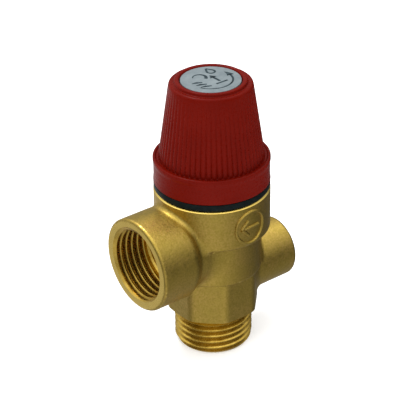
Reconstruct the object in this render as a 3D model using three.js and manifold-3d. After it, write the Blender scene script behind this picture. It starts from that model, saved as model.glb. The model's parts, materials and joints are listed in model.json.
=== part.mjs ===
// Pressure relief valve for heating systems: G 1/2 male inlet below, G 1/2 female outlet towards -X,
// 1/4 gauge port towards +X, diaphragm, spring and bonnet above, and a knob that lifts the stem.
// Millimetres, +Z up along the valve's axis, origin on that axis at the inlet's end face.

import * as THREE from 'three';
import { mergeVertices } from 'three/addons/utils/BufferGeometryUtils.js';
import Module from 'manifold-3d';

const wasm = await Module();
wasm.setup();

// ---- driving dimensions ----
const GAP = 0.3; // left between neighbouring pieces
const ROUND = 40; // sides of the round surfaces of body, bonnet, diaphragm and knob
const INNER_ROUND = 24; // sides of the round pieces inside them
const SMALL_ROUND = 20; // sides of screw, stem, nuts and washers

const inlet = { crest: 10.45, bore: 7.0, threadTop: 9.4, undercut: 9.2, wrenchBottom: 10.6 };
const wrench = { flat: 11.7, corner: 12.66, cornerRound: 2.6, top: 22.8 };
const drum = { radius: 13.0, top: 34.1 };
const bowl = { radius: 15.25, bottom: 35.0, top: 46.7, chamfer: 0.6, bore: 13.2, ledge: 38.6 };
const seat = { bore: 5.8, landOuter: 6.4, nozzle: 8.2, top: 27.0, floor: 24.2 };
const chamber = 10.6; // radius of the discharge chamber round the nozzle
const outlet = { radius: 12.55, face: 25.2, z: 31.54, bore: 9.3, depth: 10.7, passage: 6.3, passageZ: 30.5 };
const gauge = { radius: 8.4, face: 22.7, z: 19.57, bore: 5.8, depth: 10.5, passage: 2.5 };
const stem = { radius: 2.5, bottom: 31.9, top: 73.6, hole: 1.55, holeTop: 36.6 };
const stemBore = stem.radius + GAP; // hole in everything that the stem passes through
const holder = { bottom: 28.0, plate: 29.8, top: 37.1 };
const diaphragm = { thick: 1.2, centre: holder.top + GAP, rim: bowl.ledge + GAP };
const lowerPlate = { bottom: diaphragm.centre + diaphragm.thick + GAP, thick: 1.4, radius: 8.5, boss: 5.2 };
const spring = { wire: 1.0, mean: 6.6, bottom: 40.6, top: 57.2, closed: 0.85, active: 3.5 };
const upperPlate = { bottom: spring.top + GAP, thick: 1.4, radius: 8.2, boss: 5.2, bossDrop: 1.7 };
const adjuster = { bottom: upperPlate.bottom + upperPlate.thick + GAP, thick: 2.8, radius: 8.3, hole: 3.4 };
const bonnet = {
  skirt: 12.9, bottom: 41.3, flange: 15.2, flangeBottom: 47.0, flangeTop: 48.2, tower: 9.9, bore: 8.6,
};
const ramp = { count: 3, span: 114, base: 62.6, turn: 75, lift: 1.5 }; // degrees and millimetres
const knob = {
  bottom: 48.6, web: 66.0, webTop: 68.0, wall: 1.6, pocket: 7.0, labelSeat: 75.6, labelBore: 7.9,
};
const cone = { bottom: 55.2, top: 75.0, radius: 13.76, slope: 0.148 }; // the knob's grip, narrowing upwards

// ---- making and cutting solids ----

// A closed geometry as a solid, with collapsed triangles dropped and its faces turned outwards.
function solid(geometry) {
  const bare = geometry.index ? geometry.toNonIndexed() : geometry.clone();
  bare.deleteAttribute('normal');
  bare.deleteAttribute('uv');
  const merged = mergeVertices(bare, 1e-4);
  const position = merged.getAttribute('position');
  const corners = [];
  let volume = 0;
  const [p, q, r] = [new THREE.Vector3(), new THREE.Vector3(), new THREE.Vector3()];
  for (let i = 0; i < merged.index.count; i += 3) {
    const [a, b, c] = [0, 1, 2].map((k) => merged.index.getX(i + k));
    if (a === b || b === c || c === a) continue;
    corners.push([a, b, c]);
    volume += p.fromBufferAttribute(position, a)
      .dot(q.fromBufferAttribute(position, b).cross(r.fromBufferAttribute(position, c)));
  }
  const outward = volume > 0 ? corners : corners.map(([a, b, c]) => [a, c, b]);
  return new wasm.Manifold(new wasm.Mesh({
    numProp: 3,
    vertProperties: new Float32Array(position.array),
    triVerts: new Uint32Array(outward.flat()),
  }));
}

function geometryOf(body) {
  const mesh = body.getMesh();
  const geometry = new THREE.BufferGeometry();
  geometry.setAttribute('position', new THREE.BufferAttribute(new Float32Array(mesh.vertProperties), 3));
  geometry.setIndex(new THREE.BufferAttribute(new Uint32Array(mesh.triVerts), 1));
  geometry.computeVertexNormals();
  return geometry;
}

// A profile of [radius, z] points turned about the valve's axis. Off the axis it closes on itself.
function turned(profile, sides = ROUND) {
  const points = profile.map(([radius, z]) => new THREE.Vector2(radius, z));
  if (profile[0][0] > 0) points.push(points[0].clone());
  return solid(new THREE.LatheGeometry(points, sides).rotateX(Math.PI / 2));
}

// The same, laid along X: the profile's z becomes the distance from the axis towards +X or -X.
function turnedAlongX(profile, z, direction, sides = ROUND) {
  const points = profile.map(([radius, along]) => new THREE.Vector2(radius, along));
  if (profile[0][0] > 0) points.push(points[0].clone());
  const geometry = new THREE.LatheGeometry(points, sides).rotateZ(-direction * Math.PI / 2);
  return solid(geometry.translate(0, 0, z));
}

function ring(inner, outer, bottom, top, sides = ROUND) {
  return turned([[inner, bottom], [outer, bottom], [outer, top], [inner, top]], sides);
}

function block(width, depth, bottom, top) {
  const box = new THREE.BoxGeometry(width, depth, top - bottom);
  return solid(box.translate(0, 0, (bottom + top) / 2));
}

function extruded(shape, bottom, top, curveSegments) {
  const options = { depth: top - bottom, bevelEnabled: false, curveSegments };
  return solid(new THREE.ExtrudeGeometry(shape, options).translate(0, 0, bottom));
}

// A regular polygon with rounded corners, one flat facing +X.
function roundedPolygon(sides, flat, round) {
  const shape = new THREE.Shape();
  const half = Math.PI / sides;
  const centre = (flat - round) / Math.cos(half);
  for (let k = 0; k < sides; k += 1) {
    const corner = half + 2 * half * k;
    const [x, y] = [centre * Math.cos(corner), centre * Math.sin(corner)];
    shape.absarc(x, y, round, corner - half, corner + half, false);
  }
  shape.closePath();
  return shape;
}

function hexNut(flat, hole, bottom, top) {
  const corner = flat / Math.cos(Math.PI / 6);
  const chamfered = turned([
    [0, bottom], [flat, bottom], [corner, bottom + 0.5], [corner, top - 0.5], [flat, top], [0, top],
  ], SMALL_ROUND);
  const hexagon = extruded(roundedPolygon(6, flat, 0.1), bottom, top, 1);
  return hexagon.intersect(chamfered).subtract(ring(0, hole, bottom - 1, top + 1, SMALL_ROUND));
}

// A sector of a ring whose floor and roof are given at a fraction of the way along it: bent from a box.
function sector(inner, outer, startDegrees, spanDegrees, floorAt, roofAt) {
  const box = new THREE.BoxGeometry(1, 1, 1, 1, 12, 1).translate(0.5, 0.5, 0.5);
  const position = box.getAttribute('position');
  for (let i = 0; i < position.count; i += 1) {
    const along = position.getY(i);
    const angle = THREE.MathUtils.degToRad(startDegrees + spanDegrees * along);
    const radius = THREE.MathUtils.lerp(inner, outer, position.getX(i));
    const z = THREE.MathUtils.lerp(floorAt(along), roofAt(along), position.getZ(i));
    position.setXYZ(i, radius * Math.cos(angle), radius * Math.sin(angle), z);
  }
  return solid(box);
}

// ---- the body ----

function bodyOutside() {
  const core = turned([
    [0, 0], [9.9, 0], [inlet.crest, 1.2], [inlet.crest, inlet.threadTop],
    [inlet.undercut, inlet.threadTop + 0.4], [inlet.undercut, inlet.wrenchBottom + 1],
    [0, inlet.wrenchBottom + 1],
  ]);
  const wrenchBlank = turned([
    [0, inlet.wrenchBottom], [wrench.flat - 0.2, inlet.wrenchBottom], [wrench.corner, inlet.wrenchBottom + 1],
    [wrench.corner, wrench.top + 0.5], [0, wrench.top + 0.5],
  ]);
  const octagon = extruded(
    roundedPolygon(8, wrench.flat, wrench.cornerRound), inlet.wrenchBottom, wrench.top + 0.5, 3,
  );
  const upper = turned([
    [0, wrench.top], [drum.radius - 0.5, wrench.top], [drum.radius, wrench.top + 0.5],
    [drum.radius, drum.top],
    [bowl.radius - 0.6, bowl.bottom - 0.4], [bowl.radius, bowl.bottom + 0.4],
    [bowl.radius, bowl.top - bowl.chamfer], [bowl.radius - bowl.chamfer, bowl.top], [0, bowl.top],
  ]);
  const outletBoss = turnedAlongX([
    [0, 0], [outlet.radius, 0], [outlet.radius, outlet.face - 0.5], [outlet.radius - 0.5, outlet.face],
    [0, outlet.face],
  ], outlet.z, -1);
  const gaugeBoss = turnedAlongX([
    [0, 0], [gauge.radius, 0], [gauge.radius, gauge.face - 0.5], [gauge.radius - 0.5, gauge.face],
    [0, gauge.face],
  ], gauge.z, 1, SMALL_ROUND);
  return core.add(octagon.intersect(wrenchBlank)).add(upper).add(outletBoss).add(gaugeBoss);
}

function bodyHollows() {
  const inletBore = turned([
    [0, -1], [inlet.bore + 1.6, -1], [inlet.bore, 0.6], [inlet.bore, 22.0], [seat.bore, 23.0],
    [seat.bore, seat.top + 1], [0, seat.top + 1],
  ]);
  const upper = turned([
    [0, seat.top], [seat.landOuter, seat.top], [seat.nozzle, seat.top - 1.4], [seat.nozzle, seat.floor],
    [chamber, seat.floor], [chamber, bowl.ledge], [bowl.bore, bowl.ledge], [bowl.bore, bowl.top + 1],
    [0, bowl.top + 1],
  ]);
  const outletThread = turnedAlongX([
    [0, outlet.face - outlet.depth], [outlet.bore, outlet.face - outlet.depth],
    [outlet.bore, outlet.face - 0.7], [outlet.bore + 1.7, outlet.face + 1], [0, outlet.face + 1],
  ], outlet.z, -1);
  const outletPassage = turnedAlongX([
    [0, seat.nozzle + 0.4], [outlet.passage, seat.nozzle + 0.4],
    [outlet.passage, outlet.face - outlet.depth + 1], [0, outlet.face - outlet.depth + 1],
  ], outlet.passageZ, -1, SMALL_ROUND);
  const gaugeThread = turnedAlongX([
    [0, inlet.bore - 1], [gauge.passage, inlet.bore - 1], [gauge.passage, gauge.face - gauge.depth],
    [gauge.bore, gauge.face - gauge.depth], [gauge.bore, gauge.face - 0.8],
    [gauge.bore + 1.8, gauge.face + 1], [0, gauge.face + 1],
  ], gauge.z, 1, SMALL_ROUND);
  return inletBore.add(upper).add(outletThread).add(outletPassage).add(gaugeThread);
}

function valveBody() {
  return bodyOutside().subtract(bodyHollows());
}

// ---- the closing parts ----

function seatGasket() {
  return ring(stem.hole, 7.4, seat.top + GAP, holder.plate - GAP, INNER_ROUND);
}

function gasketWasher() {
  return ring(stem.hole, 4.4, seat.top - 0.6, seat.top, SMALL_ROUND);
}

function discScrew() {
  const headTop = seat.top - 0.6 - GAP;
  const shank = stem.hole - GAP;
  const whole = turned([
    [0, headTop - 1.6], [2.2, headTop - 1.6], [2.7, headTop - 1.1], [2.7, headTop], [shank, headTop],
    [shank, stem.holeTop - 0.6], [0, stem.holeTop - 0.6],
  ], SMALL_ROUND);
  return whole.subtract(block(8, 0.8, headTop - 2.6, headTop - 0.8));
}

function discHolder() {
  return turned([
    [stem.hole, holder.plate], [7.7, holder.plate], [7.7, holder.bottom], [8.7, holder.bottom], [8.7, 31.3],
    [4.2, 31.8], [4.2, 34.9], [7.5, 35.9], [7.5, holder.top], [stemBore, holder.top],
    [stemBore, stem.bottom - GAP], [stem.hole, stem.bottom - GAP],
  ], INNER_ROUND);
}

function diaphragmDisc() {
  const { thick, centre, rim } = diaphragm;
  return turned([
    [stemBore, centre], [9.0, centre], [10.3, rim], [12.9, rim], [12.9, rim + thick], [9.9, rim + thick],
    [8.6, centre + thick], [stemBore, centre + thick],
  ]);
}

function slipRing() {
  const bottom = diaphragm.rim + diaphragm.thick + GAP;
  return ring(10.8, 12.9, bottom, bonnet.bottom - GAP);
}

// ---- the stem and the spring ----

function stemRod() {
  return turned([
    [0, stem.holeTop], [stem.hole, stem.holeTop], [stem.hole, stem.bottom], [stem.radius, stem.bottom],
    [stem.radius, stem.top - 0.4], [stem.radius - 0.4, stem.top], [0, stem.top],
  ], SMALL_ROUND);
}

function lowerSpringPlate() {
  const { bottom, thick, radius, boss } = lowerPlate;
  return turned([
    [stemBore, bottom], [radius, bottom], [radius, bottom + thick], [boss, bottom + thick],
    [boss, bottom + thick + 2], [stemBore, bottom + thick + 2],
  ], INNER_ROUND);
}

function clampNut() {
  const bottom = lowerPlate.bottom + lowerPlate.thick + 2 + GAP;
  return hexNut(4.0, stemBore, bottom, bottom + 2.6);
}

// The wire's centre line: close turns at both ends and open ones between them.
class SpringLine extends THREE.Curve {
  getPoint(t) {
    const turns = spring.active + 2 * spring.closed;
    const turn = turns * t;
    const closePitch = 2 * spring.wire + 0.15;
    const height = spring.top - spring.bottom - 2 * spring.wire;
    const openPitch = (height - 2 * spring.closed * closePitch) / spring.active;
    const first = Math.min(turn, spring.closed);
    const open = THREE.MathUtils.clamp(turn - spring.closed, 0, spring.active);
    const last = Math.max(turn - spring.closed - spring.active, 0);
    const z = spring.bottom + spring.wire + (first + last) * closePitch + open * openPitch;
    const angle = 2 * Math.PI * turn;
    return new THREE.Vector3(spring.mean * Math.cos(angle), spring.mean * Math.sin(angle), z);
  }
}

function reliefSpring() {
  const section = new THREE.Shape();
  section.absarc(0, 0, spring.wire, 0, 2 * Math.PI, false);
  const options = { extrudePath: new SpringLine(), steps: 56, curveSegments: 6, bevelEnabled: false };
  return solid(new THREE.ExtrudeGeometry(section, options));
}

function upperSpringPlate() {
  const { bottom, thick, radius, boss, bossDrop } = upperPlate;
  return turned([
    [stemBore, bottom - bossDrop], [boss, bottom - bossDrop], [boss, bottom], [radius, bottom],
    [radius, bottom + thick], [stemBore, bottom + thick],
  ], INNER_ROUND);
}

function adjusterNut() {
  const top = adjuster.bottom + adjuster.thick;
  const disc = ring(adjuster.hole, adjuster.radius, adjuster.bottom, top, INNER_ROUND);
  return disc.subtract(block(20, 1.8, top - 1.2, top + 1));
}

// ---- the bonnet, the knob and what is in them ----

const rampRise = ramp.lift * ramp.span / ramp.turn;

function bonnetShell() {
  const { skirt, bottom, flange, flangeBottom, flangeTop, tower, bore } = bonnet;
  let shell = turned([
    [10.2, bottom], [skirt, bottom], [skirt, flangeBottom], [flange, flangeBottom], [flange, flangeTop],
    [13.1, flangeTop], [13.1, flangeTop + 1.1], [tower, flangeTop + 1.7], [tower, ramp.base],
    [bore, ramp.base], [bore, 46.5], [10.2, 46.5],
  ]);
  for (let k = 0; k < ramp.count; k += 1) {
    const start = 360 * k / ramp.count;
    const floor = () => ramp.base - 0.6;
    const roof = (along) => ramp.base + rampRise * along;
    shell = shell.add(sector(bore, tower, start, ramp.span, floor, roof));
  }
  return shell;
}

function coneRadius(z) {
  return cone.radius - (z - cone.bottom) * cone.slope;
}

function knobShell() {
  const { bottom, web, webTop, wall, pocket, labelSeat, labelBore } = knob;
  let shell = turned([
    [13.4, bottom], [15.3, bottom], [15.0, 50.3], [15.0, 53.4], [15.2, 54.3], [15.2, 54.9], [14.9, 55.35],
    [coneRadius(cone.bottom), cone.bottom], [coneRadius(cone.top), cone.top], [10.6, 75.6], [10.0, 76.0],
    [9.5, 76.3], [8.9, 76.8], [8.3, 76.8], [labelBore, 76.4], [labelBore, labelSeat], [pocket, labelSeat],
    [pocket, webTop], [stemBore + 0.2, webTop], [stemBore + 0.2, web], [coneRadius(web) - wall, web],
    [coneRadius(56) - wall, 56], [13.4, 54],
  ]);
  for (let k = 0; k < ramp.count; k += 1) {
    const skipped = 3; // degrees left free beside the lowest end of each ramp
    const start = 360 * k / ramp.count + skipped;
    const floor = (along) => ramp.base + GAP
      + rampRise * (skipped + along * (ramp.span - skipped)) / ramp.span;
    const roof = () => web + 0.5;
    shell = shell.add(sector(8.4, 10.1, start, ramp.span - skipped, floor, roof));
  }
  return shell;
}

function labelDisc() {
  return turned([
    [0, knob.labelSeat + GAP], [knob.labelBore - GAP, knob.labelSeat + GAP],
    [knob.labelBore - GAP, knob.labelSeat + GAP + 0.5], [0, knob.labelSeat + GAP + 0.5],
  ], INNER_ROUND);
}

function thrustWasher() {
  return ring(stemBore, 6.0, knob.webTop + GAP, knob.webTop + GAP + 1, SMALL_ROUND);
}

function stemNut() {
  const bottom = knob.webTop + GAP + 1 + GAP;
  return hexNut(4.0, stemBore, bottom, bottom + 3.2);
}

// ---- the assembly ----

const finishes = {
  brass: { color: 0x9a8040, roughness: 0.38, metalness: 1 },
  steel: { color: 0xa8abad, roughness: 0.35, metalness: 1 },
  rubber: { color: 0x141414, roughness: 0.8, metalness: 0 },
  nylon: { color: 0xe4dfd0, roughness: 0.5, metalness: 0 },
  black: { color: 0x101414, roughness: 0.45, metalness: 0 },
  red: { color: 0x96141a, roughness: 0.35, metalness: 0 },
  label: { color: 0xa8b4b8, roughness: 0.5, metalness: 0 },
};

function piece(name, body, finish) {
  const mesh = new THREE.Mesh(geometryOf(body), new THREE.MeshStandardMaterial(finishes[finish]));
  mesh.name = name;
  return mesh;
}

const valve = new THREE.Group();
valve.add(
  piece('valve_body', valveBody(), 'brass'),
  piece('seat_gasket', seatGasket(), 'rubber'),
  piece('gasket_washer', gasketWasher(), 'brass'),
  piece('disc_screw', discScrew(), 'steel'),
  piece('disc_holder', discHolder(), 'brass'),
  piece('diaphragm', diaphragmDisc(), 'rubber'),
  piece('slip_ring', slipRing(), 'nylon'),
  piece('lower_spring_plate', lowerSpringPlate(), 'brass'),
  piece('clamp_nut', clampNut(), 'steel'),
  piece('stem', stemRod(), 'brass'),
  piece('relief_spring', reliefSpring(), 'steel'),
  piece('upper_spring_plate', upperSpringPlate(), 'steel'),
  piece('adjuster_nut', adjusterNut(), 'brass'),
  piece('bonnet', bonnetShell(), 'black'),
  piece('knob', knobShell(), 'red'),
  piece('label_disc', labelDisc(), 'label'),
  piece('thrust_washer', thrustWasher(), 'nylon'),
  piece('stem_nut', stemNut(), 'steel'),
);

export default valve;
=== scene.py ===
"""The looks of a brass pressure relief valve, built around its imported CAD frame.

Helpers work in millimetres and make their objects in metres. +Z runs up the valve's axis, the outlet
faces -X, the gauge port +X, and the origin is on the axis at the inlet's end face.
"""
import json
import math
from collections import namedtuple

import bmesh
import bpy
import numpy as np
from mathutils import Matrix, Vector


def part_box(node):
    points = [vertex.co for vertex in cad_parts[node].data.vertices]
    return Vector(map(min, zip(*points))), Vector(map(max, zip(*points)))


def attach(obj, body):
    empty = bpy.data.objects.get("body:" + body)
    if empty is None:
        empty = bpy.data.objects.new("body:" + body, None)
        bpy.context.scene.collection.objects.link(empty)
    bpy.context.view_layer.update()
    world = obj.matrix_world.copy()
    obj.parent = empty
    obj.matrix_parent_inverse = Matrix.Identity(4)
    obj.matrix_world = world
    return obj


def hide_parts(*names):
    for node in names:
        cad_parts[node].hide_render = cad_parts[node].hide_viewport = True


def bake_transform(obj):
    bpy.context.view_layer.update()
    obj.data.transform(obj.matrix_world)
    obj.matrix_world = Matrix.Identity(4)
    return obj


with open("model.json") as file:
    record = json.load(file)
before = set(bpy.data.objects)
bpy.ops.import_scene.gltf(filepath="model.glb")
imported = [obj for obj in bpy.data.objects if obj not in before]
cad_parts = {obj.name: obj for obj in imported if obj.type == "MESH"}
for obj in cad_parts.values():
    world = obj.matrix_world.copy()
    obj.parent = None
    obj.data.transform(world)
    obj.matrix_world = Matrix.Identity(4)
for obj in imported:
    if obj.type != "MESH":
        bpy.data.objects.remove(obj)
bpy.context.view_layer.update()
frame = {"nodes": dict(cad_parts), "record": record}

MM = 0.001
SIDES = 192  # sides of a large round surface
SHARP = math.radians(32)  # edges that turn by more than this stay crisp
ON_AXIS = 1e-9  # a radius below this is a point on the axis


def corners_mm(node):
    """The lowest and highest corner of a CAD node, in millimetres."""
    low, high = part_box(node)
    return np.array(low) / MM, np.array(high) / MM


# ---- sizes, from the frame where it has them ----
body_low, body_high = corners_mm("valve_body")
label_top = corners_mm("label_disc")[1][2]
spring_low, spring_high = corners_mm("relief_spring")
diaphragm_low, diaphragm_high = corners_mm("diaphragm")

BOWL_TOP = body_high[2]
BOWL_RADIUS = 15.25
BOWL_BOTTOM = 34.5
DRUM_RADIUS = 13.0
DRUM_BOTTOM = 22.8
WRENCH_FLAT = 11.7  # half the distance across the octagon's flats
WRENCH_BOTTOM = 10.6
OUTLET_FACE = -body_low[0]
OUTLET_RADIUS = 12.55
OUTLET_Z = 31.54
NECK_DEPTH = 1.6  # the outlet boss is this much slimmer behind its shoulder
SHOULDER_X = 12.3  # how far from the axis the shoulder begins
GAUGE_FACE = body_high[0]
GAUGE_RADIUS = 8.4
GAUGE_Z = 19.57
INLET_BORE = 7.0
SEAT_BORE = 5.8
SEAT_TOP = 27.0
CHAMBER_RADIUS = 10.6
CHAMBER_FLOOR = 24.2
BONNET_SOCKET = 13.2  # the radius of the bowl's mouth, where the bonnet screws in
RIM_CHAMFER = 0.6  # how deep the turned chamfer round the bowl's top is
LEDGE_Z = 38.6  # the ledge that the diaphragm's rim lies on
HALF_INCH = {"major": 10.45, "minor": 9.3, "pitch": 1.814}
QUARTER_INCH = {"major": 6.58, "minor": 5.8, "pitch": 1.337}

NET_STEP = 0.3  # the grid that the forging is meshed on
SKIN_DEPTH = 0.02  # faces this close to the forging's surface have been touched by no tool
FACE_DEPTH = 0.03  # faces this close to a port's end belong to its turned face
FORGED, MACHINED, THREADED = 0, 1, 2  # the body's material slots

DIAPHRAGM = 1.2  # its thickness
WIRE_RADIUS = 0.9
SPRING_RADIUS = 6.6
CLOSED_TURNS, OPEN_TURNS, CLOSED_PITCH = 0.85, 3.5, 2.15
SPRING_BOTTOM, SPRING_TOP = spring_low[2] + 1, spring_high[2] - 1  # the wire's centre line
OPEN_PITCH = (SPRING_TOP - SPRING_BOTTOM - 2 * CLOSED_TURNS * CLOSED_PITCH) / OPEN_TURNS


# ---- outlines and meshes ----

def rounded(corners, steps=5):
    """An outline through [radius, z, edge] corners, with each edge rounded to that radius."""
    points = []
    for index, (x, y, edge) in enumerate(corners):
        here = np.array([x, y], float)
        if edge == 0:
            points.append(here)
            continue
        before = np.array(corners[index - 1][:2]) - here
        after = np.array(corners[(index + 1) % len(corners)][:2]) - here
        before /= np.linalg.norm(before)
        after /= np.linalg.norm(after)
        half = 0.5 * math.acos(np.clip(before @ after, -1, 1))
        middle = (before + after) / np.linalg.norm(before + after)
        centre = here + middle * edge / math.sin(half)
        reach = edge / math.tan(half)
        start = here + before * reach - centre
        end = here + after * reach - centre
        angle = math.atan2(start[1], start[0])
        turn = math.atan2(end[1], end[0]) - angle
        turn = (turn + math.pi) % (2 * math.pi) - math.pi
        for step in range(steps + 1):
            now = angle + turn * step / steps
            points.append(centre + edge * np.array([math.cos(now), math.sin(now)]))
    return np.array(points)


def new_object(name, points, faces, sharp=SHARP):
    """A mesh object from points in millimetres, with its faces turned outwards."""
    mesh = bpy.data.meshes.new(name)
    mesh.from_pydata((np.asarray(points, float) * MM).tolist(), [], faces)
    work = bmesh.new()
    work.from_mesh(mesh)
    if work.calc_volume(signed=True) < 0:
        bmesh.ops.reverse_faces(work, faces=work.faces)
        work.to_mesh(mesh)
    work.free()
    obj = bpy.data.objects.new(name, mesh)
    bpy.context.scene.collection.objects.link(obj)
    shade(obj, sharp)
    return obj


def shade(obj, sharp=SHARP):
    obj.data.shade_smooth()
    obj.data.set_sharp_from_angle(angle=sharp)


def turned(name, outline, sides=SIDES, radius_at=None, sharp=SHARP):
    """A solid of revolution about Z. Off the axis the outline closes on itself.
    radius_at(radius, z, angle), where given, shapes the radius round the turn."""
    outline = np.asarray(outline, float)[:, :2]
    angles = 2 * math.pi * np.arange(sides) / sides
    points, rows = [], []
    for radius, z in outline:
        if radius < ON_AXIS:
            rows.append([len(points)] * sides)
            points.append([0.0, 0.0, z])
            continue
        around = np.full(sides, radius) if radius_at is None else radius_at(radius, z, angles)
        rows.append(list(range(len(points), len(points) + sides)))
        points.extend(zip(around * np.cos(angles), around * np.sin(angles), np.full(sides, z)))
    if outline[0][0] > ON_AXIS:
        rows.append(rows[0])
    faces = []
    for low, high in zip(rows, rows[1:]):
        for side in range(sides):
            following = (side + 1) % sides
            face = [low[side], low[following], high[following], high[side]]
            face = list(dict.fromkeys(face))
            if len(face) > 2:
                faces.append(face)
    return new_object(name, points, faces, sharp)


def swept_faces(rings, size, closed=False):
    """The faces that join rings of size points each, with a cap at both ends unless closed."""
    faces = []
    for step in range(rings if closed else rings - 1):
        here, there = step * size, (step + 1) % rings * size
        for k in range(size):
            following = (k + 1) % size
            faces.append([here + k, here + following, there + following, there + k])
    if not closed:
        faces.append(list(range(size))[::-1])
        faces.append(list(range((rings - 1) * size, rings * size)))
    return faces


def threaded_rod(name, thread, low, high, sides=144):
    """A long screw of the given thread about Z, longer than low to high at both ends."""
    pitch, depth = thread["pitch"], thread["major"] - thread["minor"]
    shape = [(0.0, 0.0), (0.08, 0.0), (0.14, 0.08), (0.27, 0.5), (0.40, 0.92), (0.46, 1.0),
             (0.54, 1.0), (0.60, 0.92), (0.73, 0.5), (0.86, 0.08), (0.92, 0.0)]
    per_turn = len(shape)
    turns = math.ceil((high - low) / pitch) + 2
    rows = turns * per_turn
    points, index = [], {}
    for side in range(sides):
        angle = 2 * math.pi * side / sides
        for row in range(rows + 1 + (per_turn if side == 0 else 0)):
            along, height = shape[row % per_turn]
            z = low + pitch * (row // per_turn + along + side / sides - 1.5)
            radius = thread["minor"] + depth * height
            index[side, row] = len(points)
            points.append([radius * math.cos(angle), radius * math.sin(angle), z])
    faces = []
    for side in range(sides):
        for row in range(rows):
            if side < sides - 1:
                far = (index[side + 1, row], index[side + 1, row + 1])
            else:
                far = (index[0, row + per_turn], index[0, row + per_turn + 1])
            faces.append([index[side, row], far[0], far[1], index[side, row + 1]])
    for row, turned_over in ((0, False), (rows, True)):
        rim = [index[side, row] for side in range(sides)]
        rim += [index[0, row + step] for step in range(per_turn, 0, -1)]
        centre = len(points)
        points.append([0.0, 0.0, points[rim[0]][2] + pitch / 2])
        for a, b in zip(rim, rim[1:] + rim[:1]):
            faces.append([centre, a, b] if turned_over else [centre, b, a])
    return new_object(name, points, faces)


def combine(target, tool, operation):
    """Cuts tool from target, or joins or intersects them, and removes tool."""
    modifier = target.modifiers.new("combine", "BOOLEAN")
    modifier.operation = operation
    modifier.solver = "MANIFOLD"
    modifier.object = tool
    evaluated = target.evaluated_get(bpy.context.evaluated_depsgraph_get())
    result = bpy.data.meshes.new_from_object(evaluated)
    target.modifiers.clear()
    spent = [target.data, tool.data]
    target.data = result
    bpy.data.objects.remove(tool)
    for mesh in spent:
        bpy.data.meshes.remove(mesh)
    return target


def along_x(obj, direction, z):
    """Lays an object made about Z along +X or -X, its origin on the valve's axis at height z."""
    turn = Matrix.Rotation(direction * math.pi / 2, 4, "Y")
    obj.data.transform(Matrix.Translation((0, 0, z * MM)) @ turn)


# ---- the forged body ----

def cylinder_distance(radial, along, radius, low, high, edge):
    """Signed distance to a cylinder whose edges are rounded."""
    out_radial = radial - radius + edge
    out_along = np.maximum(low - along, along - high) + edge
    outside = np.hypot(np.maximum(out_radial, 0), np.maximum(out_along, 0))
    return outside + np.minimum(np.maximum(out_radial, out_along), 0) - edge


def octagon_distance(x, y, z, flat, low, high, corner, edge):
    """Signed distance to an upright octagon with rounded corners and ends, one flat facing +X."""
    half = math.pi / 8
    angle = np.abs((np.arctan2(y, x) + half) % (2 * half) - half)
    radius = np.hypot(x, y)
    out = radius * np.cos(angle) - (flat - corner)
    aside = radius * np.sin(angle) - (flat - corner) * math.tan(half)
    radial = np.hypot(np.maximum(out, 0), np.maximum(aside, 0)) + np.minimum(out, 0)
    return cylinder_distance(radial, z, corner, low, high, edge)


def filleted(a, b, fillet):
    """The union of two distances, with a fillet of that radius where they meet."""
    bridge = np.hypot(np.maximum(fillet - a, 0), np.maximum(fillet - b, 0))
    return np.maximum(fillet, np.minimum(a, b)) - bridge


def forging_distance(x, y, z):
    """Signed distance, near its skin, to the body as it leaves the forging die."""
    rho = np.hypot(x, y)
    drum = cylinder_distance(rho, z, DRUM_RADIUS, DRUM_BOTTOM, BOWL_TOP - 2, 0.45)
    bowl = cylinder_distance(rho, z, BOWL_RADIUS, BOWL_BOTTOM, BOWL_TOP + 1.5, 1.0)
    wrench = octagon_distance(x, y, z, WRENCH_FLAT, WRENCH_BOTTOM - 0.9, DRUM_BOTTOM + 2, 3.0, 0.8)
    column = filleted(filleted(drum, bowl, 0.6), wrench, 0.35)
    from_outlet = np.hypot(y, z - OUTLET_Z)
    neck = cylinder_distance(from_outlet, -x, OUTLET_RADIUS - NECK_DEPTH, 0, OUTLET_FACE - 2, 0.5)
    shoulder = cylinder_distance(from_outlet, -x, OUTLET_RADIUS, SHOULDER_X, OUTLET_FACE - 2, 3.2)
    rim = cylinder_distance(from_outlet, -x, OUTLET_RADIUS, SHOULDER_X + 4, OUTLET_FACE, 0.7)
    outlet = filleted(neck, np.minimum(shoulder, rim), 0.8)
    gauge = cylinder_distance(np.hypot(y, z - GAUGE_Z), x, GAUGE_RADIUS, 0, GAUGE_FACE, 0.9)
    return filleted(filleted(column, outlet, 1.3), gauge, 1.2)


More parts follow.
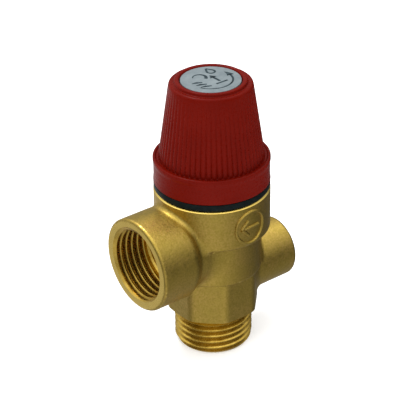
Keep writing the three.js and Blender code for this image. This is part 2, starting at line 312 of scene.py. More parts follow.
def surface_net(distance, low, high, step):
    """Points and quads of the closed surface where distance(x, y, z) is zero, within a box."""
    axes = [np.arange(low[axis], high[axis] + step, step) for axis in range(3)]
    shape = tuple(len(axis) for axis in axes)
    values = np.empty(shape, np.float32)
    y, z = np.meshgrid(axes[1], axes[2], indexing="ij")
    for index, x in enumerate(axes[0]):
        values[index] = distance(x, y, z)
    inside = values < 0
    corners = [(i, j, k) for i in (0, 1) for j in (0, 1) for k in (0, 1)]

    def shifted(grid, offset):
        return grid[tuple(slice(o, n - 1 + o) for o, n in zip(offset, grid.shape))]

    count = sum(shifted(inside, corner).astype(np.int8) for corner in corners)
    cells = np.argwhere((count > 0) & (count < 8))
    number = np.full(tuple(n - 1 for n in shape), -1, np.int64)
    number[tuple(cells.T)] = np.arange(len(cells))
    total = np.zeros((len(cells), 3))
    crossings = np.zeros(len(cells))
    for axis in range(3):
        for corner in corners:
            if corner[axis]:
                continue
            here = cells + corner
            there = here.copy()
            there[:, axis] += 1
            a, b = values[tuple(here.T)], values[tuple(there.T)]
            crossed = (a < 0) != (b < 0)
            offset = here[crossed].astype(float)
            offset[:, axis] += a[crossed] / (a[crossed] - b[crossed])
            total[crossed] += offset
            crossings[crossed] += 1
    points = np.array(low) + step * total / crossings[:, None]
    quads = []
    for axis in range(3):
        u, v = (axis + 1) % 3, (axis + 2) % 3
        ahead = [slice(None)] * 3
        behind = [slice(None)] * 3
        ahead[axis], behind[axis] = slice(1, None), slice(None, -1)
        edges = np.argwhere(inside[tuple(ahead)] != inside[tuple(behind)])
        around = []
        for back_u, back_v in ((0, 0), (1, 0), (1, 1), (0, 1)):
            cell = edges.copy()
            cell[:, u] -= back_u
            cell[:, v] -= back_v
            around.append(number[tuple(cell.T)])
        quad = np.stack(around, 1)
        flipped = inside[tuple(edges.T)]
        quad[flipped] = quad[flipped][:, ::-1]
        quads.append(quad)
    return points, np.concatenate(quads)


def settled(points, distance, rounds=3, nudge=0.02):
    """The points moved onto the surface where distance is zero."""
    for _ in range(rounds):
        slope = np.empty_like(points)
        for axis in range(3):
            ahead, behind = points.copy(), points.copy()
            ahead[:, axis] += nudge
            behind[:, axis] -= nudge
            slope[:, axis] = (distance(*ahead.T) - distance(*behind.T)) / (2 * nudge)
        length = np.maximum(np.sum(slope * slope, axis=1), 0.25)
        points = points - slope * (distance(*points.T) / length)[:, None]
    return points


def raised_stroke(name, path, width, height, closed=False):
    """A rounded bead along a path of (across, up) points laid round the front of the bowl."""
    path = np.array(path, float)
    ahead = np.roll(path, -1, 0) - path
    behind = path - np.roll(path, 1, 0)
    if not closed:
        ahead[-1], behind[0] = behind[-1], ahead[0]
    tangent = ahead / np.linalg.norm(ahead, axis=1)[:, None]
    tangent += behind / np.linalg.norm(behind, axis=1)[:, None]
    tangent /= np.linalg.norm(tangent, axis=1)[:, None]
    normal = np.stack([-tangent[:, 1], tangent[:, 0]], 1)
    section = [(-1.3, -0.6), (-1.0, 0.0), (-0.75, 0.7), (-0.35, 1.0), (0.35, 1.0), (0.75, 0.7),
               (1.0, 0.0), (1.3, -0.6)]
    points = []
    for place, side in zip(path, normal):
        for aside, up in section:
            across, z = place + side * aside * width / 2
            radius = BOWL_RADIUS + up * height
            angle = across / BOWL_RADIUS
            points.append([radius * math.sin(angle), -radius * math.cos(angle), z])
    return new_object(name, points, swept_faces(len(path), len(section), closed))


MARK_CENTRE = (0.45, 40.2)  # across and up
MARK_RADIUS = 4.5


def flow_mark():
    """The raised ring on the front of the bowl, with a flow arrow that points to the outlet."""
    centre = np.array(MARK_CENTRE)
    ring = [centre + MARK_RADIUS * np.array([math.cos(a), math.sin(a)])
            for a in 2 * math.pi * np.arange(72) / 72]
    shaft = [centre + (x, 0) for x in np.linspace(2.6, -2.3, 9)]
    point, barb = centre + (-2.9, 0), 2.1
    upper = [point + t * np.array([barb, barb]) for t in np.linspace(0, 1, 6)]
    lower = [point + t * np.array([barb, -barb]) for t in np.linspace(0, 1, 6)]
    return [
        raised_stroke("mark_ring", ring, 0.9, 0.45, closed=True),
        raised_stroke("mark_shaft", shaft, 1.0, 0.45),
        raised_stroke("mark_upper", upper, 1.0, 0.43),
        raised_stroke("mark_lower", lower, 1.0, 0.43),
    ]


def port_cutter(name, thread, face, depth, bottom_radius, passage_end, passage_shift, chamfer):
    """The tool that cuts a threaded port from its face inwards, with the passage behind it."""
    major, minor = thread["major"], thread["minor"]
    inner = face - depth
    rod = threaded_rod(name, thread, inner - 2, face + 2)
    blank = turned("blank", [
        (0, inner + 1.2), (major + 1, inner + 1.2), (major + 1, face + 1), (0, face + 1),
    ])
    cutter = combine(rod, blank, "INTERSECT")
    drill = turned("drill", [
        (0, inner), (minor - 0.4, inner), (minor, inner + 0.5), (minor, face - chamfer),
        (minor + chamfer + 1, face + 1), (0, face + 1),
    ])
    combine(cutter, drill, "UNION")
    passage = turned("passage", [(0, passage_end), (bottom_radius, passage_end),
                                 (bottom_radius, inner + 1), (0, inner + 1)], 96)
    passage.data.transform(Matrix.Translation((passage_shift * MM, 0, 0)))
    return combine(cutter, passage, "UNION")


def body_cutters():
    """The tools that the body is cut with, each laid where it cuts."""
    inlet = turned("inlet_cutter", [
        (0, -1), (INLET_BORE + 1.6, -1), (INLET_BORE, 0.6), (INLET_BORE, 22), (SEAT_BORE, 23),
        (SEAT_BORE, SEAT_TOP + 1), (0, SEAT_TOP + 1),
    ])
    upper = turned("upper_cutter", rounded([
        (0, SEAT_TOP, 0), (6.4, SEAT_TOP, 0.1), (8.2, SEAT_TOP - 1.4, 0.2),
        (8.2, CHAMBER_FLOOR, 0.3), (CHAMBER_RADIUS, CHAMBER_FLOOR, 0.3), (CHAMBER_RADIUS, LEDGE_Z, 0),
        (BONNET_SOCKET, LEDGE_Z, 0), (BONNET_SOCKET, BOWL_TOP + 3, 0), (0, BOWL_TOP + 3, 0),
    ]))
    rim = turned("rim_cutter", [
        (10, BOWL_TOP), (BOWL_RADIUS - 0.75, BOWL_TOP), (BOWL_RADIUS + 0.05, BOWL_TOP - RIM_CHAMFER),
        (20, BOWL_TOP - RIM_CHAMFER), (20, BOWL_TOP + 4), (10, BOWL_TOP + 4),
    ])
    base_radius = WRENCH_FLAT + 1.5  # reaches past the octagon's corners, but not to the gauge boss
    base = turned("base_cutter", [
        (0, WRENCH_BOTTOM - 3), (base_radius, WRENCH_BOTTOM - 3), (base_radius, WRENCH_BOTTOM + 0.55),
        (WRENCH_FLAT - 0.35, WRENCH_BOTTOM), (0, WRENCH_BOTTOM),
    ])
    outlet = port_cutter("outlet_cutter", HALF_INCH, OUTLET_FACE, depth=10.7, bottom_radius=6.3,
                         passage_end=8.6, passage_shift=1.04, chamfer=0.75)
    gauge = port_cutter("gauge_cutter", QUARTER_INCH, GAUGE_FACE, depth=10.5, bottom_radius=2.5,
                        passage_end=6.0, passage_shift=0.0, chamfer=0.8)
    along_x(outlet, -1, OUTLET_Z)
    along_x(gauge, 1, GAUGE_Z)
    return {"rim": rim, "base": base, "upper": upper, "outlet": outlet, "gauge": gauge, "inlet": inlet}


def male_thread():
    """The inlet's screwed end, from its chamfered tip to the undercut below the wrench section."""
    rod = threaded_rod("male_thread", HALF_INCH, -1, 11)
    major, minor = HALF_INCH["major"], HALF_INCH["minor"]
    undercut = minor - 0.1
    blank = turned("blank", [
        (0, 0), (minor + 0.35, 0), (major + 0.1, 1.3), (major + 0.1, 8.9), (undercut, 9.9),
        (undercut, 12), (0, 12),
    ])
    thread = combine(rod, blank, "INTERSECT")
    neck = turned("neck", [(0, 0.05), (undercut, 0.05), (undercut, 12.5), (0, 12.5)])
    return combine(thread, neck, "UNION")


def centre_of_faces(mesh):
    """The middle of each face, in millimetres."""
    centres = np.empty(len(mesh.polygons) * 3, np.float32)
    mesh.polygons.foreach_get("center", centres)
    return centres.reshape(-1, 3).astype(float) / MM


def valve_body(forged, machined, threaded):
    """Forged first, then cut: the skin that no tool has touched keeps the forged finish."""
    low = [-OUTLET_FACE - 1, -BOWL_RADIUS - 1, WRENCH_BOTTOM - 2]
    high = [GAUGE_FACE + 1, BOWL_RADIUS + 1, BOWL_TOP + 2.5]
    points, quads = surface_net(forging_distance, low, high, NET_STEP)
    body = new_object("body_visual", settled(points, forging_distance), quads.tolist())
    for stroke in flow_mark():
        combine(body, stroke, "UNION")
    cutters = body_cutters()
    combine(body, cutters["rim"], "DIFFERENCE")
    combine(body, cutters["base"], "DIFFERENCE")
    combine(body, male_thread(), "UNION")
    for name in ("upper", "outlet", "gauge", "inlet"):
        combine(body, cutters[name], "DIFFERENCE")
    body.data.materials.clear()
    for material in (forged, machined, threaded):
        body.data.materials.append(material)
    x, y, z = centre_of_faces(body.data).T
    skin = np.abs(forging_distance(x, y, z)) < SKIN_DEPTH
    mark = (y < -10) & (np.abs(x) < 6) & (np.hypot(x, y) > BOWL_RADIUS - 0.1) & (z < BOWL_TOP - 0.7)
    ends = (x < FACE_DEPTH - OUTLET_FACE) | (x > GAUGE_FACE - FACE_DEPTH) | (z < WRENCH_BOTTOM)
    finish = np.where(~(skin | mark) | ends, MACHINED, FORGED).astype(np.int32)
    inlet = (z > 0.05) & (z < WRENCH_BOTTOM - 0.05)
    from_outlet = np.hypot(y, z - OUTLET_Z)
    from_gauge = np.hypot(y, z - GAUGE_Z)
    outlet = (x < 0) & (x > FACE_DEPTH - OUTLET_FACE) & (from_outlet < HALF_INCH["major"] + 0.01)
    gauge = (x > 0) & (x < GAUGE_FACE - FACE_DEPTH) & (from_gauge < QUARTER_INCH["major"] + 0.01)
    # the threads get the darker thread material, whose colour is painted shade of their grooves
    finish[(finish == MACHINED) & (inlet | outlet | gauge)] = THREADED
    body.data.polygons.foreach_set("material_index", finish)
    shade(body)
    return body


# ---- the knob, the label and the bonnet ----

FLUTES = 60
CONE_BOTTOM, CONE_TOP = 55.3, 74.9
FLUTE_DEPTH, FLUTE_LOSS = 0.4, 0.33  # the depth at the bottom, and how much of it is lost on the way up
FLUTE_END = 0.8  # the flutes run out over this height
SKIRT_BOTTOM, SKIRT_RADIUS = 48.6, 15.1
KNOB_RIM_RADIUS, KNOB_RIM_TOP, KNOB_LEDGE = 15.24, 55.35, 55.0
WEB_BOTTOM, WEB_TOP, WEB_BORE = 66.0, 68.0, 3.0  # the web inside the knob that the stem passes
KNOB_TOP, KNOB_WELL = 76.6, 7.0  # the top, and the radius of the well below the label
LABEL_RADIUS = 7.75
TOWER_INNER, TOWER_OUTER, TOWER_TOP = 8.6, 9.9, 62.6  # the bonnet's tower round the spring
FLANGE_BOTTOM, FLANGE_TOP, FLANGE_RADIUS = 46.85, 48.42, 15.2
RAMPS, RAMP_SPAN, RAMP_RISE = 3, 114, 2.28


def cone_radius(z):
    """The radius of the knob's grip at height z, over the ribs."""
    return 13.76 - (z - 55.2) * 0.148


def fluted_radius(radius, z, angles):
    """The grip's flutes: rounded ribs with narrow valleys, deeper towards the bottom."""
    if not CONE_BOTTOM - 0.3 < z < CONE_TOP + 0.2 or radius < cone_radius(z) - 0.3:
        return np.full(len(angles), radius)
    if radius > cone_radius(z) + 0.4:
        return np.full(len(angles), radius)
    up = np.clip((z - CONE_BOTTOM) / (CONE_TOP - CONE_BOTTOM), 0, 1)
    depth = FLUTE_DEPTH - FLUTE_LOSS * up
    if z > CONE_TOP - FLUTE_END:
        depth *= max(0.0, (CONE_TOP - z) / FLUTE_END)
    rib = np.abs(np.cos(FLUTES / 2 * angles)) ** 0.8
    return radius - depth * (1 - rib)


def knob_outline():
    """Up the outside from the skirt, over the top, and down the inside."""
    grip = [(cone_radius(z), z, 0) for z in np.linspace(CONE_BOTTOM, CONE_TOP, 24)]
    outside = rounded([
        (13.4, SKIRT_BOTTOM, 0.15), (SKIRT_RADIUS + 0.15, SKIRT_BOTTOM, 0.15),
        (SKIRT_RADIUS, 50.2, 0.8), (SKIRT_RADIUS, 53.6, 0.8), (KNOB_RIM_RADIUS, 54.3, 0.4),
        (KNOB_RIM_RADIUS, KNOB_RIM_TOP, 0.42), (14.55, KNOB_RIM_TOP, 0.3), (14.35, KNOB_LEDGE, 0.3),
        (cone_radius(CONE_BOTTOM) - 0.02, KNOB_LEDGE, 0),
    ])
    top = rounded([
        (cone_radius(CONE_TOP), CONE_TOP, 0), (cone_radius(75.3) - 0.05, 75.3, 0),
        (10.45, 76.05, 0.7), (9.85, 75.8, 0.3), (9.4, 75.8, 0.25), (9.2, KNOB_TOP, 0.4),
        (8.2, KNOB_TOP, 0.4), (7.95, 76.1, 0.2), (7.9, 75.6, 0.1), (KNOB_WELL, 75.6, 0.1),
        (KNOB_WELL, WEB_TOP, 0.3), (WEB_BORE, WEB_TOP, 0), (WEB_BORE, WEB_BOTTOM, 0),
        (10.55, WEB_BOTTOM, 0.3), (12.05, 56.0, 0.5), (13.4, 54.0, 0.5),
    ])
    return np.concatenate([outside, np.array(grip)[:, :2], top[1:]])


def knob_piece(plastic):
    knob = turned("knob_visual", knob_outline(), FLUTES * 8, fluted_radius, math.radians(38))
    knob.data.materials.append(plastic)
    return knob


def bonnet_piece(plastic):
    """Black nylon: screwed skirt, the flange that shows, the spring tower and its three ramps."""
    bonnet = turned("bonnet_visual", rounded([
        (10.2, 41.3, 0), (12.9, 41.3, 0.3), (12.9, FLANGE_BOTTOM, 0), (FLANGE_RADIUS, FLANGE_BOTTOM, 0.15),
        (FLANGE_RADIUS, FLANGE_TOP, 0.25), (13.15, FLANGE_TOP, 0), (13.1, 49.3, 0.2),
        (TOWER_OUTER, 49.9, 0.3), (TOWER_OUTER, TOWER_TOP, 0), (TOWER_INNER, TOWER_TOP, 0),
        (TOWER_INNER, 46.5, 0), (10.2, 46.5, 0),
    ]))
    for turn in range(RAMPS):
        combine(bonnet, ramp_sector("ramp", 360 / RAMPS * turn), "UNION")
    bonnet.data.materials.clear()
    bonnet.data.materials.append(plastic)
    shade(bonnet)
    return bonnet


def ramp_sector(name, start, steps=38):
    """One of the ramps on the bonnet's tower, which the knob climbs as it is turned."""
    points = []
    for step in range(steps + 1):
        along = step / steps
        angle = math.radians(start + RAMP_SPAN * along)
        floor, roof = TOWER_TOP - 0.4, TOWER_TOP + RAMP_RISE * along
        corners = ((TOWER_INNER, floor), (TOWER_OUTER, floor), (TOWER_OUTER, roof), (TOWER_INNER, roof))
        for radius, z in corners:
            points.append([radius * math.cos(angle), radius * math.sin(angle), z])
    return new_object(name, points, swept_faces(steps + 1, 4))


def label_piece(plate):
    bottom = label_top - 0.5
    disc = turned("label_visual", rounded([
        (0, bottom, 0), (LABEL_RADIUS, bottom, 0), (LABEL_RADIUS, label_top, 0.12), (0, label_top, 0),
    ]), 128)
    disc.data.materials.append(plate)
    return disc


def flat_stroke(name, path, width):
    """A thin printed line on the label, along a path of (x, y) points with a width at each."""
    path = np.array(path, float)
    width = np.broadcast_to(np.asarray(width, float), len(path))
    tangent = np.gradient(path, axis=0)
    tangent /= np.linalg.norm(tangent, axis=1)[:, None]
    normal = np.stack([-tangent[:, 1], tangent[:, 0]], 1)
    low, high = label_top - 0.02, label_top + 0.02
    points = []
    for place, side, wide in zip(path, normal, width):
        left, right = place + side * wide / 2, place - side * wide / 2
        points += [[*left, low], [*right, low], [*right, high], [*left, high]]
    return new_object(name, points, swept_faces(len(path), 4))


def arc(radius, start, end, count=40, centre=(0, 0)):
    angles = np.radians(np.linspace(start, end, count))
    return np.stack([centre[0] + radius * np.cos(angles), centre[1] + radius * np.sin(angles)], 1)


ARROW_RADIUS = 5.6  # of the turn arrow on the label


def label_marks(ink):
    """Generic marks: the way to turn, a jet of water, a drop and a lift sign."""
    sweep = arc(ARROW_RADIUS, -158, -8)
    tip = arc(ARROW_RADIUS, -12, 14, 12)
    drop = arc(1.05, -215, 35, 24, (2.9, 3.6))
    drop = np.concatenate([[[2.9, 5.7]], drop, [[2.9, 5.7]]])
    hook = arc(1.7, 150, -60, 24, (-1.6, 2.6))
    strokes = [
        flat_stroke("label_arc", sweep, np.linspace(0.3, 0.6, len(sweep))),
        flat_stroke("label_tip", tip, np.linspace(2.0, 0.1, len(tip))),
        flat_stroke("label_drop", drop, 0.55),
        flat_stroke("label_hook", hook, np.linspace(0.3, 0.9, len(hook))),
        flat_stroke("label_lift", [(1.2, -2.2), (1.2, -0.6), (1.2, 0.8)], (0.7, 0.7, 0.7)),
        flat_stroke("label_lift_tip", [(1.2, 0.4), (1.2, 1.0), (1.2, 2.0)], (2.0, 1.3, 0.1)),
        flat_stroke("label_seat", [(-0.6, -3.0), (1.2, -3.0), (3.0, -3.0)], 0.6),
    ]
    for line in range(3):
        left, top = -5.4 + 0.3 * line, 0.9 - 1.5 * line
        jet = [(left, top), (left + 1.2, top - 0.3), (left + 2.6, top - 1.0)]
        strokes.append(flat_stroke(f"label_jet_{line}", jet, (0.3, 0.8, 0.5)))
    for stroke in strokes:
        stroke.data.materials.append(ink)
    return strokes


# ---- the spring and the diaphragm ----

def diaphragm_pieces(rubber):
    """The clamped rim and the lifting centre, whose walls slide past each other in place of the fold."""
    low, high = diaphragm_low[2], diaphragm_high[2]
    edge = 0.2
    hole, fold, rim_edge = 2.8, 9.35, 12.9
    gap, wall = 0.15, 0.6
    centre = turned("diaphragm_centre", rounded([
        (hole, low, 0), (fold, low, edge), (fold, high + 0.2, edge), (fold - wall, high + 0.2, edge),
        (fold - wall, low + DIAPHRAGM, 0), (hole, low + DIAPHRAGM, 0),
    ]))
    rim = turned("diaphragm_rim", rounded([
        (fold + gap, low, edge), (10.05, low, edge), (10.05, high - DIAPHRAGM, 0),
        (rim_edge, high - DIAPHRAGM, edge), (rim_edge, high, edge), (fold + gap, high, edge),
    ]))
    for piece in (centre, rim):
        piece.data.materials.append(rubber)
    return centre, rim


def spring_half(name, first, last, steel):
    """Part of the relief spring between two turns: closed turns at both ends, open ones between."""
    per_turn, sides = 48, 20  # steps along one turn, and sides of the wire
    points = []
    count = round((last - first) * per_turn)
    for step in range(count + 1):
        turn = first + (last - first) * step / count
        closed = min(turn, CLOSED_TURNS) + max(turn - CLOSED_TURNS - OPEN_TURNS, 0)
        opened = min(max(turn - CLOSED_TURNS, 0), OPEN_TURNS)
        height = SPRING_BOTTOM + closed * CLOSED_PITCH + opened * OPEN_PITCH
        angle = 2 * math.pi * turn
        for side in range(sides):
            around = 2 * math.pi * side / sides
            radius = SPRING_RADIUS + WIRE_RADIUS * math.cos(around)
            points.append([radius * math.cos(angle), radius * math.sin(angle),
                           height + WIRE_RADIUS * math.sin(around)])
    half = new_object(name, points, swept_faces(count + 1, sides))
    half.data.materials.append(steel)
    return half


# ---- materials ----

def new_material(name, colour, roughness, metallic=0.0):
    """A material with its Principled shader, and the object's own coordinates to pattern it by."""
    material = bpy.data.materials.new(name)
    material.use_nodes = True
    tree = material.node_tree
    shader = tree.nodes["Principled BSDF"]
    shader.inputs["Base Color"].default_value = (*colour, 1)
    shader.inputs["Roughness"].default_value = roughness
    shader.inputs["Metallic"].default_value = metallic
    place = tree.nodes.new("ShaderNodeTexCoord").outputs["Object"]
    return material, tree, shader, place


def noise(tree, place, size, detail=3.0):
    """Noise whose features are about size millimetres across."""
    node = tree.nodes.new("ShaderNodeTexNoise")
    node.inputs["Scale"].default_value = 1 / (size * MM)
    node.inputs["Detail"].default_value = detail
    tree.links.new(place, node.inputs["Vector"])
    return node.outputs["Fac"]


def spread(tree, value, low, high):
    """The value, from 0.3 to 0.7, stretched to run from low to high."""
    node = tree.nodes.new("ShaderNodeMapRange")
    node.inputs["From Min"].default_value = 0.3
    node.inputs["From Max"].default_value = 0.7
    node.inputs["To Min"].default_value = low
    node.inputs["To Max"].default_value = high
    tree.links.new(value, node.inputs["Value"])
    return node.outputs["Result"]


def blended(tree, factor, first, second):
    """A colour between two, each a colour or another node's output, by a factor from 0 to 1."""
    node = tree.nodes.new("ShaderNodeMix")
    node.data_type = "RGBA"
    tree.links.new(factor, node.inputs["Factor"])
    for socket, colour in ((node.inputs["A"], first), (node.inputs["B"], second)):
        if isinstance(colour, tuple):
            socket.default_value = (*colour, 1)
        else:
            tree.links.new(colour, socket)
    return node.outputs["Result"]


def patterned(tree, shader, place, size, first, second):
    """A base colour that wanders between two, over patches about size millimetres across."""
    tint = spread(tree, noise(tree, place, size), 0, 1)
    tree.links.new(blended(tree, tint, first, second), shader.inputs["Base Color"])


def bumped(tree, shader, height, depth, strength=1.0):
    """Relief of about depth millimetres from a height between 0 and 1."""
    node = tree.nodes.new("ShaderNodeBump")
    node.inputs["Strength"].default_value = strength
    node.inputs["Distance"].default_value = depth * MM
    tree.links.new(height, node.inputs["Height"])
    tree.links.new(node.outputs["Normal"], shader.inputs["Normal"])


def forged_brass():
    """Tumbled forging skin: olive brass, fine grain, faint copper and dull patches."""
    material, tree, shader, place = new_material("brass_forged", (0.5, 0.36, 0.07), 0.4, 1.0)
    patchy = spread(tree, noise(tree, place, 7), 0, 1)
    patches = blended(tree, patchy, (0.50, 0.365, 0.075), (0.60, 0.40, 0.11))
    grain = spread(tree, noise(tree, place, 0.5, 4), 0, 1)
    tree.links.new(blended(tree, grain, patches, (0.40, 0.285, 0.05)), shader.inputs["Base Color"])
    tree.links.new(spread(tree, noise(tree, place, 1.2), 0.36, 0.5), shader.inputs["Roughness"])
    bumped(tree, shader, noise(tree, place, 0.38, 4), 0.06)
    return material


def threaded_brass_painted_shade():
    """The threads' flanks and roots: cut brass painted darker and warmer than the turned faces, as painted
    shade and inter-reflection of the thread's grooves.
    """
    material, tree, shader, place = new_material("brass_threaded_painted_shade", (0.6, 0.41, 0.08), 0.28, 1.0)
    patterned(tree, shader, place, 1.6, (0.64, 0.44, 0.09), (0.50, 0.32, 0.05))
    tree.links.new(spread(tree, noise(tree, place, 0.5), 0.22, 0.36), shader.inputs["Roughness"])
    bumped(tree, shader, noise(tree, place, 0.6, 2), 0.012, 0.5)
    return material


def machined_brass():
    """Turned brass: brighter and smoother, with fine tool lines."""
    material, tree, shader, place = new_material("brass_machined", (0.78, 0.56, 0.13), 0.22, 1.0)
    patterned(tree, shader, place, 2, (0.76, 0.54, 0.12), (0.82, 0.60, 0.15))
    tree.links.new(spread(tree, noise(tree, place, 0.4), 0.18, 0.3), shader.inputs["Roughness"])
    bumped(tree, shader, noise(tree, place, 0.6, 2), 0.012, 0.5)
    return material


def red_plastic():
    material, tree, shader, place = new_material("knob_red", (0.138, 0.004, 0.001), 0.3)
    shader.inputs["Specular IOR Level"].default_value = 0.06
    patterned(tree, shader, place, 6, (0.130, 0.0034, 0.0005), (0.147, 0.0044, 0.0010))
    tree.links.new(spread(tree, noise(tree, place, 0.6), 0.24, 0.34), shader.inputs["Roughness"])
    bumped(tree, shader, noise(tree, place, 0.35, 2), 0.012, 0.6)
    return material


def black_plastic():
    material, tree, shader, place = new_material("bonnet_black", (0.005, 0.008, 0.008), 0.35)
    shader.inputs["Specular IOR Level"].default_value = 0.08
    patterned(tree, shader, place, 2, (0.003, 0.006, 0.006), (0.007, 0.012, 0.012))
    tree.links.new(spread(tree, noise(tree, place, 0.5), 0.3, 0.5), shader.inputs["Roughness"])
    bumped(tree, shader, noise(tree, place, 0.3, 2), 0.015, 0.6)
    return material


def label_plate():
    """A pale blue-grey plate, a little worn, with faint smudges of its print."""
    material, tree, shader, place = new_material("label_plate", (0.19, 0.225, 0.24), 0.42)
    shader.inputs["Specular IOR Level"].default_value = 0.3
    patterned(tree, shader, place, 2.5, (0.22, 0.26, 0.275), (0.15, 0.185, 0.20))
    tree.links.new(spread(tree, noise(tree, place, 1), 0.35, 0.5), shader.inputs["Roughness"])
    bumped(tree, shader, noise(tree, place, 0.3, 2), 0.01, 0.4)
    return material


def label_ink():
    material, tree, shader, place = new_material("label_ink", (0.02, 0.035, 0.04), 0.6)
    shader.inputs["Specular IOR Level"].default_value = 0.15
    patterned(tree, shader, place, 0.8, (0.008, 0.016, 0.02), (0.045, 0.07, 0.08))
    return material


def plain_parts():
    """Finishes of the inner parts, by the record's slot."""
    made = {}
    for slot_name, colour, roughness, metallic, size, depth in (
        ("brass", (0.70, 0.50, 0.18), 0.28, 1.0, 0.3, 0.01),
        ("steel", (0.55, 0.56, 0.58), 0.3, 1.0, 0.25, 0.008),
        ("rubber", (0.012, 0.012, 0.012), 0.7, 0.0, 0.3, 0.02),
        ("nylon", (0.75, 0.72, 0.62), 0.5, 0.0, 0.6, 0.01),
    ):
        material, tree, shader, place = new_material("inner_" + slot_name, colour, roughness, metallic)
        darker = tuple(0.8 * channel for channel in colour)
        patterned(tree, shader, place, 1.5, colour, darker)
        rough = spread(tree, noise(tree, place, size), roughness * 0.85, roughness * 1.2)
        tree.links.new(rough, shader.inputs["Roughness"])
        bumped(tree, shader, noise(tree, place, size, 2), depth, 0.6)
        made[slot_name] = material
    return made


# ---- studio ----

CAMERA_LENS, CAMERA_SENSOR = 135.8, 36
CAMERA_PLACE = (-0.2234, -0.2788, 0.2432)  # metres
CAMERA_TARGET = (-0.00085, 0.00067, 0.03929)
CAMERA_ROLL = -0.68  # degrees


def looking(place, target):
    """The matrix that puts an object at place, looking at target, both in metres."""
    place, target = Vector(place), Vector(target)
    return Matrix.Translation(place) @ (target - place).to_track_quat("-Z", "Y").to_matrix().to_4x4()


def camera():
    data = bpy.data.cameras.new("camera")
    data.lens = CAMERA_LENS
    data.sensor_width = CAMERA_SENSOR
    data.clip_start = 0.01
    obj = bpy.data.objects.new("camera", data)
    bpy.context.scene.collection.objects.link(obj)
    roll = Matrix.Rotation(math.radians(CAMERA_ROLL), 4, "Z")
    obj.matrix_world = looking(CAMERA_PLACE, CAMERA_TARGET) @ roll
    bpy.context.scene.camera = obj


LIGHT_SIZE = 0.15  # metres each way
LIGHT_TARGET = (0, 0, 0.04)


def area_light(name, place, energy):
    """A soft white light at place, in metres, aimed at the valve's middle."""
    data = bpy.data.lights.new(name, "AREA")
    data.shape = "RECTANGLE"
    data.size = data.size_y = LIGHT_SIZE
    data.energy = energy
    obj = bpy.data.objects.new(name, data)
    bpy.context.scene.collection.objects.link(obj)
    obj.matrix_world = looking(place, LIGHT_TARGET)


ROOM_RADIUS = 2500
FLOOR_GLOW = 0.4

# Soft lobes of light round the object. Azimuth and elevation are in degrees, azimuth from the gauge side.
Lobe = namedtuple("Lobe", "azimuth elevation narrowness strength")
LOBES = (
    Lobe(0, 90, 1, 1.0),  # the ceiling
    Lobe(0, 90, 3, 0.4),
    Lobe(0, -90, 2, 0.5),  # the floor
    Lobe(-130, -25, 4, 0.7),  # low in front
    Lobe(90, -25, 4, 0.7),  # low behind
    Lobe(-130, 50, 4, 0.5),  # high in front
    Lobe(140, 50, 4, 0.5),  # high on the left
    Lobe(-40, 50, 4, 0.2),  # high on the right
    Lobe(-65, -25, 8, 0.2),  # low on the right
    Lobe(140, 15, 4, 0.2),  # level on the left
)


def lobe_aim(lobe):
    """The direction a lobe's light comes from."""
    azimuth, elevation = math.radians(lobe.azimuth), math.radians(lobe.elevation)
    level = math.cos(elevation)
    return level * math.cos(azimuth), level * math.sin(azimuth), math.sin(elevation)


def calculated(tree, operation, *values):
    """A math node's output. Each value is a number or another node's output."""
    node = tree.nodes.new("ShaderNodeMath")
    node.operation = operation
    for socket, value in zip(node.inputs, values):
        if isinstance(value, (int, float)):
            socket.default_value = value
        else:
            tree.links.new(value, socket)
    return node.outputs[0]


def world_light(world):
    """A dim room with soft lobes of light, fixed to the object's own axes."""
    world.use_nodes = True
    tree = world.node_tree
    direction = tree.nodes.new("ShaderNodeTexCoord").outputs["Generated"]
    total = 0
    for lobe in LOBES:
        facing = tree.nodes.new("ShaderNodeVectorMath")
        facing.operation = "DOT_PRODUCT"
        facing.inputs[1].default_value = lobe_aim(lobe)
        tree.links.new(direction, facing.inputs[0])
        clipped = calculated(tree, "MAXIMUM", facing.outputs["Value"], 0)
        narrowed = calculated(tree, "POWER", clipped, lobe.narrowness)
        total = calculated(tree, "MULTIPLY_ADD", narrowed, lobe.strength, total)
    tree.links.new(total, tree.nodes["Background"].inputs["Color"])


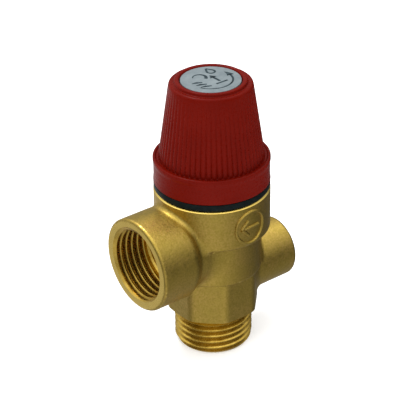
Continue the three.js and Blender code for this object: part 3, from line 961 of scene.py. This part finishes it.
def studio():
    """The world's light, two area lights over the label, a pale floor and a pale backdrop."""
    scene = bpy.context.scene
    scene.view_settings.view_transform = "Standard"
    scene.world = bpy.data.worlds.new("studio")
    world_light(scene.world)
    area_light("top_left", (-0.03, 0.23, 0.59), 1.1)
    area_light("top_right", (0.23, 0.02, 0.59), 0.3)
    material, tree, shader, place = new_material("floor_pale", (0.9, 0.9, 0.9), 0.8)
    patterned(tree, shader, place, 60, (0.90, 0.90, 0.90), (0.92, 0.92, 0.92))
    shader.inputs["Emission Color"].default_value = (1, 1, 1, 1)
    shader.inputs["Emission Strength"].default_value = FLOOR_GLOW
    radius = ROOM_RADIUS
    floor = turned("floor", [(0, -4), (radius, -4), (radius, -0.2), (0, -0.2)], 96)
    backdrop = turned("backdrop", [
        (radius - 1, -0.1), (radius - 1, radius), (0, radius), (0, radius + 1), (radius, radius + 1),
        (radius, -0.1),
    ], 96)
    backdrop.visible_diffuse = False
    backdrop.visible_shadow = False
    for stage in (floor, backdrop):
        stage.data.materials.append(material)
        stage.visible_glossy = False


# ---- putting it together ----

def place_piece(piece, body, slot_name, *nodes):
    """Fixes a piece to a body of the frame, in place of the CAD nodes named."""
    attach(piece, body)
    if nodes:
        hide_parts(*nodes)


camera()
studio()
inner = plain_parts()
for part in frame["record"]["subparts"]:
    finish = inner.get(part["material_slot"])
    if finish:
        node = frame["nodes"][part["node"]]
        node.data.materials.clear()
        node.data.materials.append(finish)

body = valve_body(forged_brass(), machined_brass(), threaded_brass_painted_shade())
place_piece(body, "housing", "brass", "valve_body")
place_piece(bonnet_piece(black_plastic()), "housing", "black_plastic", "bonnet")
place_piece(knob_piece(red_plastic()), "knob", "red_plastic", "knob")
place_piece(label_piece(label_plate()), "knob", "label", "label_disc")
for mark in label_marks(label_ink()):
    place_piece(mark, "knob", "label")

# The spring is made in two halves, an upper and a lower, that meet at its middle turn.
middle_turn = CLOSED_TURNS + OPEN_TURNS / 2
upper_half = spring_half("spring_upper", middle_turn, 2 * middle_turn, inner["steel"])
lower_half = spring_half("spring_lower", 0, middle_turn, inner["steel"])
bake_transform(upper_half)
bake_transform(lower_half)
for half in (upper_half, lower_half):
    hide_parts("relief_spring")

diaphragm_centre, diaphragm_rim = diaphragm_pieces(inner["rubber"])
place_piece(diaphragm_centre, "stem", "rubber", "diaphragm")
place_piece(diaphragm_rim, "housing", "rubber", "diaphragm")
